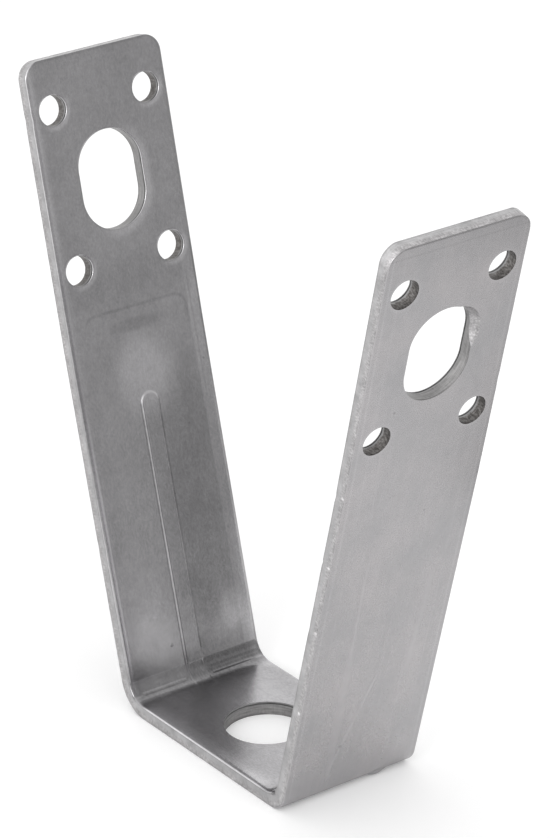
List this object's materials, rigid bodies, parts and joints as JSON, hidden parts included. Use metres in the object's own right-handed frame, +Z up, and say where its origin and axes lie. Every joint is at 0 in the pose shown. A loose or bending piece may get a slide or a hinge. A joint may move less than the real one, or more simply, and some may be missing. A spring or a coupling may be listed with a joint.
{
  "type": "trapeze hanger",
  "caption": "Strip of sheet steel folded to a narrow flat base with a rod hole, between legs that lean outwards and end in a slot and screw holes.",
  "frame": {"origin": "centre of the rod hole on the underside of the base", "axes": "+Z up along the rod, +X along the base towards the leg that leans out further, +Y across the strip"},
  "size_m": [0.1127, 0.03, 0.1224],
  "materials": {
    "steel": "satin plated sheet with fine scuffs, bright rolled edges and rougher sheared faces"
  },
  "bodies": {
    "root": {"hanger": "steel"}
  },
  "joints": []
}
